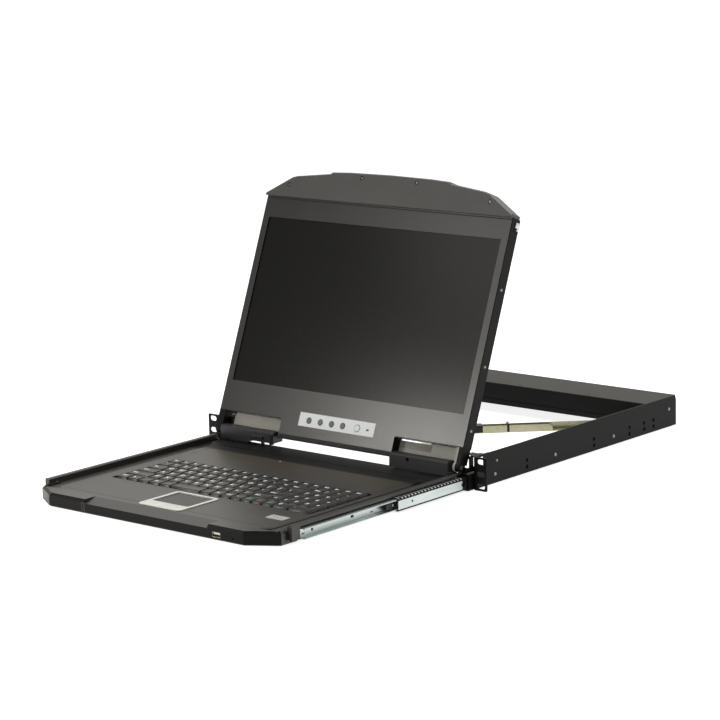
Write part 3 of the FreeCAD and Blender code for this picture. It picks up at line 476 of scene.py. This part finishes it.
def pick_faces(piece, test):
    """Enter edit mode with only the faces that pass the test selected."""
    bpy.ops.object.mode_set(mode="EDIT")
    bpy.ops.mesh.select_mode(type="FACE")
    bpy.ops.mesh.select_all(action="DESELECT")
    bpy.ops.object.mode_set(mode="OBJECT")
    for face in piece.data.polygons:
        face.select = test(face)
    bpy.ops.object.mode_set(mode="EDIT")


def block(name, low, high):
    """A box primitive at its size and place."""
    deselect()
    low, high = Vector(low), Vector(high)
    bpy.ops.mesh.primitive_cube_add(size=1, location=(low + high) / 2)
    piece = bpy.context.object
    piece.name = name
    piece.scale = high - low
    bpy.ops.object.transform_apply(location=True, rotation=True, scale=True)
    return piece


def bevel_all(piece, width, segments=2):
    make_active(piece)
    bevel = piece.modifiers.new("edge_radius", "BEVEL")
    bevel.width = width
    bevel.segments = segments
    bevel.angle_limit = math.radians(25)
    bpy.ops.object.modifier_apply(modifier=bevel.name)
    bpy.ops.object.shade_smooth_by_angle(angle=math.radians(35))


def join(name, pieces):
    if len(pieces) == 1:
        return pieces[0]
    deselect()
    for piece in pieces:
        piece.select_set(True)
    bpy.context.view_layer.objects.active = pieces[0]
    bpy.ops.object.join()
    bpy.context.object.name = name
    return bpy.context.object


def finish_piece(piece, body):
    make_active(piece)
    bpy.ops.object.transform_apply(location=True, rotation=True, scale=True)
    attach(piece, body)


def copy_at(original, name, offset):
    twin = original.copy()
    twin.data = original.data.copy()
    twin.name = name
    twin.location = offset
    bpy.context.scene.collection.objects.link(twin)
    return twin


# %% [markdown]
# ## Key caps
# A cap of this low keyboard is a straight skirt under a tapered top whose face is dished
# for the fingertip, with rounded edges that catch the light.  One cap is modelled for
# each width: a block whose top face is scaled in, inset and lowered, then bevelled.  The
# rows are copies, joined so that each row is one piece, because each row moves as one.

# %% One key cap
KEY_PITCH_X = 17.4 * MM
KEY_PITCH_Y = 19.25 * MM
KEY_X0 = -158 * MM
KEY_Y0 = -264 * MM
GAP_X, GAP_Y = 0.5 * MM, 0.8 * MM     # from a cap's skirt to the edge of its place
key_low, key_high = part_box("keys_row_1")
SPACE = 2.942
ROWS = [
    [1.108] * 5 + [SPACE] + [1.0] * 7 + [1.5, 2.018],
    [2.25] + [1.0] * 10 + [1.75, 1.0] + [1.0] * 4,
    [1.75] + [1.0] * 11 + [2.25] + [1.0] * 4,
    [1.5] + [1.0] * 12 + [1.5] + [1.0] * 4,
    [1.0] * 13 + [2.0] + [1.0] * 4,
    [1.0] * 19,
]


def key_cap(units):
    """A cap whose skirt starts at the origin's left front corner."""
    width = units * KEY_PITCH_X
    cap = block("cap", (GAP_X, GAP_Y, key_low[2]), (width - GAP_X, KEY_PITCH_Y - GAP_Y, key_high[2]))
    middle = Vector((width / 2, KEY_PITCH_Y / 2, 0))
    pick_faces(cap, lambda face: face.normal.z > 0.9)
    bpy.ops.transform.resize(value=((width - 3.4 * MM) / (width - 2 * GAP_X), 0.83, 1),
                             center_override=middle)
    bpy.ops.transform.translate(value=(0, 0.5 * MM, 0))
    bpy.ops.mesh.inset(thickness=1.5 * MM)
    bpy.ops.transform.translate(value=(0, 0, -0.5 * MM))
    bpy.ops.object.mode_set(mode="OBJECT")
    bevel_all(cap, 0.7 * MM)
    cap.data.materials.append(key_abs)
    return cap


caps = {units: key_cap(units) for units in sorted({u for row in ROWS for u in row})}
print("cap widths:", len(caps), "faces in one cap:", len(caps[1.0].data.polygons))

# %% [markdown]
# The front row has three keys with a tinted field, two teal ones beside a maroon one: a
# thin coloured inlay with rounded edges on an ordinary cap.

# %% Rows of caps
tinted = {(0, 10): teal_abs, (0, 11): maroon_abs, (0, 12): teal_abs}
inlays = []
key_places = {}
for number, widths in enumerate(ROWS):
    x = KEY_X0
    row = []
    for index, units in enumerate(widths):
        corner = Vector((x, KEY_Y0 + number * KEY_PITCH_Y, 0))
        cap = copy_at(caps[units], "cap_%d_%d" % (number, index), corner)
        if (number, index) in tinted:
            inlay = block("inlay", (corner.x + 3.4 * MM, corner.y + 6.6 * MM, key_high[2] - 0.55 * MM),
                          (corner.x + 12.6 * MM, corner.y + 15.2 * MM, key_high[2] - 0.3 * MM))
            bevel_all(inlay, 0.1 * MM)
            inlay.data.materials.append(tinted[number, index])
            inlays.append(inlay)
        key_places[number, index] = (corner, units)
        x += units * KEY_PITCH_X
        if units == SPACE:
            finish_piece(cap, "space")
            cap.name = "space_bar_cap"
            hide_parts("space_bar")
        else:
            row.append(cap)
    row_piece = join("key_caps_row_%d" % (number + 1), row)
    finish_piece(row_piece, "key_row_%d" % (number + 1))
    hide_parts("keys_row_%d" % (number + 1))
for cap in caps.values():
    bpy.data.objects.remove(cap)
finish_piece(join("tinted_inlays", inlays), "key_row_1")
print("keys placed:", len(key_places))

# %% [markdown]
# ## Legends
# The letters and figures are the generic ones of any keyboard, printed in white at the
# upper left of each cap.  A text object gives the outline; it is turned into a mesh and
# laid a few hundredths of a millimetre above the dished top.

# %% Key legends
LEGENDS = [
    ["Ctrl", "Fn", "", "Alt", "", "", "", "Alt", "Ctrl", "-", "", "", "", "0", "."],
    ["Shift", "Z", "X", "C", "V", "B", "N", "M", "<", ">", "?", "Shift", "^", "1", "2", "3", "+"],
    ["Caps", "A", "S", "D", "F", "G", "H", "J", "K", "L", ";", "'", "Enter", "4", "5", "6", "+"],
    ["Tab", "Q", "W", "E", "R", "T", "Y", "U", "I", "O", "P", "[", "]", "\\", "7", "8", "9", "-"],
    ["`", "1", "2", "3", "4", "5", "6", "7", "8", "9", "0", "-", "=", "Bksp", "Num", "/", "*", "-"],
    ["Esc"] + ["F%d" % k for k in range(1, 13)] + ["Prt", "Scr", "Brk", "Ins", "Del", "End"],
]
legend_z = key_high[2] - 0.42 * MM
for number, labels in enumerate(LEGENDS):
    marks = []
    for index, label in enumerate(labels):
        if not label:
            continue
        corner, units = key_places[number, index]
        deselect()
        size = 8.2 * MM if len(label) == 1 else 4.6 * MM
        bpy.ops.object.text_add(location=(corner.x + 3.4 * MM, corner.y + KEY_PITCH_Y - 9.6 * MM,
                                          legend_z))
        text = bpy.context.object
        text.data.body = label
        text.data.size = size
        text.data.resolution_u = 2
        text.data.offset = 0.38 * MM
        bpy.ops.object.convert(target="MESH")
        marks.append(bpy.context.object)
    legends = join("legends_row_%d" % (number + 1), marks)
    legends.data.materials.clear()
    legends.data.materials.append(legend_ink)
    finish_piece(legends, "key_row_%d" % (number + 1))
print("legend rows:", len(LEGENDS))

# %% [markdown]
# ## Steel balls in the slide cages
# The slides run on small balls held in pockets.  One ball is modelled and copied along
# each cage; the balls ride with the cage that holds them.

# %% Balls
SLIDE_Z = 10.75 * MM - HALF_UNIT
# Per cage, in mm: distance from the middle, half the spacing of its two ball rows, start and
# length of the rows, and how many balls are in a row.
cages = (("outer", 215.125, 9.15, -6.0, 200.0, 8), ("inner", 212.825, 7.05, -142.0, 120.0, 6))
for side, sign in (("left", -1), ("right", 1)):
    for label, x_mm, gap_mm, start_mm, run_mm, count in cages:
        deselect()
        bpy.ops.mesh.primitive_uv_sphere_add(segments=10, ring_count=6, radius=0.58 * MM)
        ball = bpy.context.object
        bpy.ops.object.shade_smooth()
        ball.data.materials.append(ball_steel)
        balls = []
        for k in range(count):
            y = (start_mm + run_mm / count * (k + 0.5)) * MM
            for level in (-1, 1):
                place = Vector((sign * x_mm * MM, y, SLIDE_Z + level * gap_mm * MM))
                balls.append(copy_at(ball, "ball", place))
        bpy.data.objects.remove(ball)
        piece = join("balls_%s_%s" % (label, side), balls)
        finish_piece(piece, "ball_cage_%s_%s" % (label, side))
print("balls made")

# %% [markdown]
# ## The socket's tongue
# The socket in the handle shows a pale tongue inside its steel shell: a flat block with
# rounded edges.

# %% USB tongue
usb_low, usb_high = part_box("usb_port")
tongue = block("usb_tongue", (usb_low[0] + 1.3 * MM, usb_low[1] + 1.5 * MM, usb_low[2] + 3.5 * MM),
               (usb_high[0] - 1.3 * MM, usb_high[1] - 2.0 * MM, usb_low[2] + 5.1 * MM))
pick_faces(tongue, lambda face: face.normal.y < -0.9)
bpy.ops.mesh.inset(thickness=0.3 * MM)
bpy.ops.object.mode_set(mode="OBJECT")
bevel_all(tongue, 0.2 * MM)
tongue.data.materials.append(plate_film)
finish_piece(tongue, "drawer")

# %% [markdown]
# ## Ribs and seam of the front handle
# The left end of the handle is ribbed for grip: five level ribs follow the chamfered
# corner.  Where the end cap meets the bar, two fine raised lines run down the front face.
# Both are slender bars with rounded edges, half sunk into the face behind them, coloured pale
# grey as a painted highlight on their lit edges.  A bar is modelled flat and then moved to
# the two points that it joins.

# %% Handle ribs and seam
def bar_between(name, start, end, thick, material):
    """A slender bar from start to end (metres), square in section with softened edges."""
    start, end = Vector(start), Vector(end)
    run = end - start
    bar = block(name, (0, -thick / 2, -thick / 2), (run.length, thick / 2, thick / 2))
    pick_faces(bar, lambda face: abs(face.normal.x) > 0.9)
    bpy.ops.mesh.inset(thickness=thick * 0.2)
    bpy.ops.object.mode_set(mode="OBJECT")
    bevel_all(bar, thick * 0.3)
    bar.data.materials.append(material)
    bar.rotation_euler = run.to_track_quat("X", "Z").to_euler()
    bar.location = start
    return bar


# Pale grey on the black handle: a painted highlight along the ribs and seam lines.
rib_highlight = surface("rib_painted_highlight", ("#77746e", "#85827b"), 1.0, 0.05, (0.35, 0.45))
# The ribs' line across and along the drawer, in metres: side face, corner, chamfer's front end.
RIB_PATH = ((-0.2043, -0.3486), (-0.20055, -0.3516), (-0.1665, -0.37265))
ribs = []
for k in range(5):
    z = 2.3 * MM + 2.9 * MM * k - HALF_UNIT
    for start, end in zip(RIB_PATH, RIB_PATH[1:]):
        ribs.append(bar_between("rib", (*start, z), (*end, z), 1.3 * MM, rib_highlight))
finish_piece(join("handle_ribs", ribs), "drawer")
SEAM_Y = -0.3728
seams = [bar_between("seam", (x, SEAM_Y, 1.0 * MM - HALF_UNIT), (x, SEAM_Y, 14.4 * MM - HALF_UNIT),
                     0.5 * MM, rib_highlight) for x in (-0.1072, -0.1034)]
finish_piece(join("handle_seam", seams), "drawer")
print("ribs", len(ribs), "seam lines", len(seams))

# %% [markdown]
# ## Guides behind the ears, and the tray's rear corners
# Under each guide's top tab hangs a post with a foot, which keeps the lid centred as the
# drawer closes.  The roof over it starts behind the lug, which needs its room when the lid
# leans right back.  The tray's rear corners end in a low upright behind the hinge lug, and
# a small cover closes the slot in each middle slide.  The numbers are those of the right
# side, and the left one is made from the same numbers.

# %% Guide posts and corner pieces
def corner_group(name, sign, boxes, body):
    """Blocks in mm (x0, x1, y0, y1, z0, z1) for the right side, sign -1 for the left one."""
    made = []
    for x0, x1, y0, y1, z0, z1 in boxes:
        low_x, high_x = sorted((sign * x0, sign * x1))
        part = block(name, (low_x * MM, y0 * MM, z0 * MM - HALF_UNIT),
                     (high_x * MM, y1 * MM, z1 * MM - HALF_UNIT))
        bevel_all(part, 0.25 * MM)
        part.data.materials.append(powder_coat)
        made.append(part)
    finish_piece(join(name, made), body)


GUIDE_POST = [(214.6, 215.7, -1.8, 2.4, 22.7, 43.4), (214.6, 215.7, -9.0, -1.4, 22.7, 29.0),
              (204.0, 214.8, 6.8, 19.5, 42.7, 43.6), (212.0, 214.8, 5.0, 7.0, 42.7, 43.6)]
TRAY_CORNER = [(204.3, 210.9, -21.9, -1.2, 20.2, 23.2), (205.7, 210.9, -4.4, -1.2, 20.2, 28.2),
               (205.7, 208.2, -17.4, -1.2, 6.0, 20.4)]
SLOT_COVER = [(216.6, 217.2, -24.0, -14.0, 6.0, 15.5)]
for side, sign in (("left", -1), ("right", 1)):
    corner_group("guide_post_" + side, sign, GUIDE_POST, "chassis")
    corner_group("tray_corner_" + side, sign, TRAY_CORNER, "drawer")
    corner_group("slot_cover_" + side, sign, SLOT_COVER, "middle_" + side)
print("guides and corners made")

# %% [markdown]
# ## Small parts of the lid
# The lid's own frame is turned back from upright, so its small parts are drawn upright,
# as distance across, depth behind the front and height up the lid, and then turned with
# it: near-black strips of painted shadow in the gaps under the bezel and the upper handle,
# the upper strip of the right hinge leaf, the backs of the hinge lugs, and the bright latch
# at the right edge that holds the lid shut.

# %% Lid details
TILT = math.radians(-21.44)
LID_FOOT = Vector((0, -19.8 * MM, 25.64 * MM - HALF_UNIT))
menu_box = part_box("osd_plate")
# The plate's front plane, as depth in the lid's frame, from the plate's lowest front corner.
osd_t = (Vector((0, menu_box[0][1], menu_box[0][2])) - LID_FOOT).dot(
    Vector((0, math.cos(TILT), math.sin(TILT))))
print("menu plate front at depth", round(osd_t / MM, 2), "mm")


def lid_block(name, across, depth, height, material, radius=0.2):
    """A block in the lid's own frame; each pair is from and to, in mm, and so is the radius."""
    piece = block(name, [v * MM for v in (across[0], depth[0], height[0])],
                  [v * MM for v in (across[1], depth[1], height[1])])
    bevel_all(piece, radius * MM)
    piece.data.materials.append(material)
    piece.rotation_euler.x = TILT
    piece.location = LID_FOOT
    return piece


# Near-black strips along the bezel's lower edges and under the upper handle: painted shadow in the gaps.
edges = [lid_block("edge", (-97.0, 97.0), (-0.12, 1.2), (5.4, 12.2), well_and_shadow_black),
         lid_block("edge", (-211.0, -98.6), (-0.1, 0.5), (32.05, 33.0), well_and_shadow_black),
         lid_block("edge", (98.6, 211.0), (-0.1, 0.5), (32.05, 33.0), well_and_shadow_black),
         lid_block("edge", (-210.8, 210.8), (-0.1, 0.5), (330.6, 331.9), well_and_shadow_black)]
finish_piece(join("lid_shadow_strips", edges), "lid")
leaf_top = lid_block("hinge_leaf_top", (98.8, 150.5), (13.57, 15.5), (20.4, 30.2), leaf_steel, 0.03)
pick_faces(leaf_top, lambda face: face.center.x > 0.149 and face.normal.x > 0.5)
bpy.ops.transform.translate(value=(0, 0, 1.6 * MM))
bpy.ops.object.mode_set(mode="OBJECT")
finish_piece(leaf_top, "lid")
for sign in (-1, 1):
    across = sorted((sign * 201.2, sign * 211.2))
    finish_piece(lid_block("lug_back", across, (11.3, 15.3), (11.0, 20.3), powder_coat),
                 "lid")
latch = [lid_block("latch", (211.2, 212.6), (8.5, 17.2), (322.0, 329.5), ball_steel, 0.4),
         lid_block("latch", (211.2, 213.4), (11.0, 14.0), (318.5, 323.0), ball_steel, 0.4)]
finish_piece(join("lid_latch", latch), "lid")

# %% [markdown]
# Each round key of the menu plate sits in a fine groove, painted dark grey-green as shade, and
# beside them is a small dark lamp.  A groove is a thin flattened ring lying on the plate.

# %% Rings and lamp of the menu plate
MENU_HEIGHT = 35.0                # of the keys' middles up the lid, in mm
rings = []
for x, radius in ((-49.7, 3.95), (-29.8, 3.95), (-10.3, 3.95), (9.1, 3.95), (34.2, 4.5)):
    deselect()
    bpy.ops.mesh.primitive_torus_add(major_segments=28, minor_segments=6, major_radius=radius * MM,
                                     minor_radius=0.5 * MM, rotation=(math.radians(90), 0, 0))
    ring = bpy.context.object
    bpy.ops.object.transform_apply(location=True, rotation=True, scale=True)
    pick_faces(ring, lambda face: True)
    bpy.ops.transform.resize(value=(1, 0.3, 1), center_override=(0, 0, 0))
    bpy.ops.transform.translate(value=(x * MM, osd_t - 0.1 * MM, MENU_HEIGHT * MM))
    bpy.ops.object.mode_set(mode="OBJECT")
    bpy.ops.object.shade_smooth()
    ring.data.materials.append(groove_shade)
    ring.rotation_euler.x = TILT
    ring.location = LID_FOOT
    rings.append(ring)
rings.append(lid_block("lamp", (49.6, 54.0), (osd_t / MM - 0.15, osd_t / MM + 0.3), (33.4, 35.8),
                       red_lens))
finish_piece(join("menu_rings", rings), "lid")
print("lid details made")

# %% [markdown]
# ## Lamps and tiny screws on the tray
# A white point on the indicator strip, three small lamps on the lock plate and three
# bright screws in the end of the right hinge cover finish the tray.

# %% Small round parts
def button_at(name, place, radius, height, material, sideways=0):
    """A low disc with a softened rim, standing on place; sideways 1 or -1 turns it to +X or -X."""
    deselect()
    bpy.ops.mesh.primitive_cylinder_add(vertices=12, radius=radius, depth=height,
                                        location=(0, 0, height / 2))
    disc = bpy.context.object
    disc.name = name
    bpy.ops.object.transform_apply(location=True, rotation=True, scale=True)
    pick_faces(disc, lambda face: face.normal.z > 0.9)
    bpy.ops.mesh.inset(thickness=radius * 0.25)
    bpy.ops.object.mode_set(mode="OBJECT")
    bevel_all(disc, height * 0.25)
    disc.data.materials.append(material)
    disc.rotation_euler.y = sideways * math.radians(90)
    disc.location = place
    return disc


SUNK = 0.1 * MM                   # how far a disc sits in the face below it
strip_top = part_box("status_strip")[1][2]
finish_piece(button_at("strip_lamp", (-0.039, -0.0785, strip_top - SUNK), 1.1 * MM, 0.35 * MM, legend_ink),
             "drawer")
lock_low, lock_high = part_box("lock_plate")
lights = []
for k in range(3):
    place = (lock_low[0] + (0.3 + 0.2 * k) * (lock_high[0] - lock_low[0]),
             (lock_low[1] + lock_high[1]) / 2, lock_high[2] - SUNK)
    lights.append(button_at("lock_lamp", place, 1.0 * MM, 0.35 * MM, grey_rubber))
finish_piece(join("lock_lamps", lights), "drawer")
tiny = []
for k in range(3):
    place = (0.19695, (-21.6 + 3.0 * k) * MM, (24.2 - 0.8 * k) * MM - HALF_UNIT)
    tiny.append(button_at("cover_screw", place, 0.8 * MM, 0.6 * MM, ball_steel, 1))
finish_piece(join("cover_screws", tiny), "drawer")
print("small parts made")

# %% [markdown]
# ## Soft studio light
# A broad lamp overhead, two nearer and slightly warm ones at the front left and a weak
# fill light the object as in a shop picture.  The world is white behind the object, and a
# little warm in reflections, so level surfaces seen at a low angle pick up its sheen.  Towards the front it falls off
# for reflections, as a room does behind the one who looks, and so upright faces stay dark.

# %% World
world = bpy.data.worlds.new("studio")
bpy.context.scene.world = world
world.use_nodes = True
sky = world.node_tree
sky.nodes.clear()
path = add(sky, "ShaderNodeLightPath").outputs
heading = add(sky, "ShaderNodeSeparateXYZ", {}, {0: add(sky, "ShaderNodeTexCoord").outputs["Generated"]})
room = add(sky, "ShaderNodeMapRange",
           {"interpolation_type": "SMOOTHSTEP", "From Min": -0.7, "From Max": 0.35, "To Min": 0.16,
            "To Max": 1.0}, {"Value": heading.outputs[1]}).outputs[0]
eye = add(sky, "ShaderNodeMath", {"operation": "MAXIMUM"},
          {0: path["Is Camera Ray"], 1: path["Is Transmission Ray"]}).outputs[0]
mirror = add(sky, "ShaderNodeMath", {"operation": "MULTIPLY"},
             {0: path["Is Glossy Ray"], 1: room}).outputs[0]
seen = add(sky, "ShaderNodeMath", {"operation": "MAXIMUM"}, {0: eye, 1: mirror}).outputs[0]
level = add(sky, "ShaderNodeMath", {"operation": "MAXIMUM", 1: 0.3}, {0: seen}).outputs[0]
# Reflections of the room are a little warm; what the eye sees past the object is plain white.
tint = add(sky, "ShaderNodeMix", {"data_type": "RGBA", 6: (1, 1, 1, 1), 7: (1.0, 0.975, 0.93, 1)},
           {0: path["Is Glossy Ray"]}).outputs[2]
glow = add(sky, "ShaderNodeBackground", {}, {"Color": tint, "Strength": level})
add(sky, "ShaderNodeOutputWorld", {}, {"Surface": glow.outputs[0]})


# %% Lamps
def lamp(name, place, target, size, power, tint=(1, 1, 1)):
    data = bpy.data.lights.new(name, "AREA")
    data.color = tint
    data.shape = "DISK"
    data.size = size
    data.energy = power
    made = bpy.data.objects.new(name, data)
    made.location = place
    made.rotation_euler = (Vector(target) - Vector(place)).to_track_quat("-Z", "Y").to_euler()
    bpy.context.scene.collection.objects.link(made)


lamp("overhead", (-0.2, 0.5, 2.0), (0, -0.05, 0.1), 1.6, 24)
WARM = (1, 0.965, 0.91)
lamp("low_left", (-0.46, -0.79, 0.36), (0.2, -0.03, 0.04), 0.2, 2.1, WARM)
lamp("tall_left", (-0.4, -0.62, 0.74), (0.2, 0.08, 0.24), 0.35, 0.55, WARM)
lamp("front_fill", (0.2, -2.4, 1.0), (0, 0, 0.15), 1.4, 4)

# %% Floor
floor_material, tree = new_material("white_floor")
path = add(tree, "ShaderNodeLightPath").outputs
seen = add(tree, "ShaderNodeMath", {"operation": "MAXIMUM"},
           {0: path["Is Camera Ray"], 1: path["Is Glossy Ray"]}).outputs[0]
paper = add(tree, "ShaderNodeBsdfDiffuse", {"Color": (0.8, 0.8, 0.8, 1)})
bright = add(tree, "ShaderNodeMath", {"operation": "MULTIPLY", 1: 0.85}, {0: seen}).outputs[0]
glow = add(tree, "ShaderNodeEmission", {"Color": (1, 1, 1, 1)}, {"Strength": bright})
both = add(tree, "ShaderNodeAddShader", {}, {0: paper.outputs[0], 1: glow.outputs[0]})
add(tree, "ShaderNodeOutputMaterial", {}, {"Surface": both.outputs[0]})
deselect()
bpy.ops.mesh.primitive_plane_add(size=30, location=(0, 0, cad_low[2] - 0.0005))
floor = bpy.context.object
floor.name = "floor"
floor.data.materials.append(floor_material)
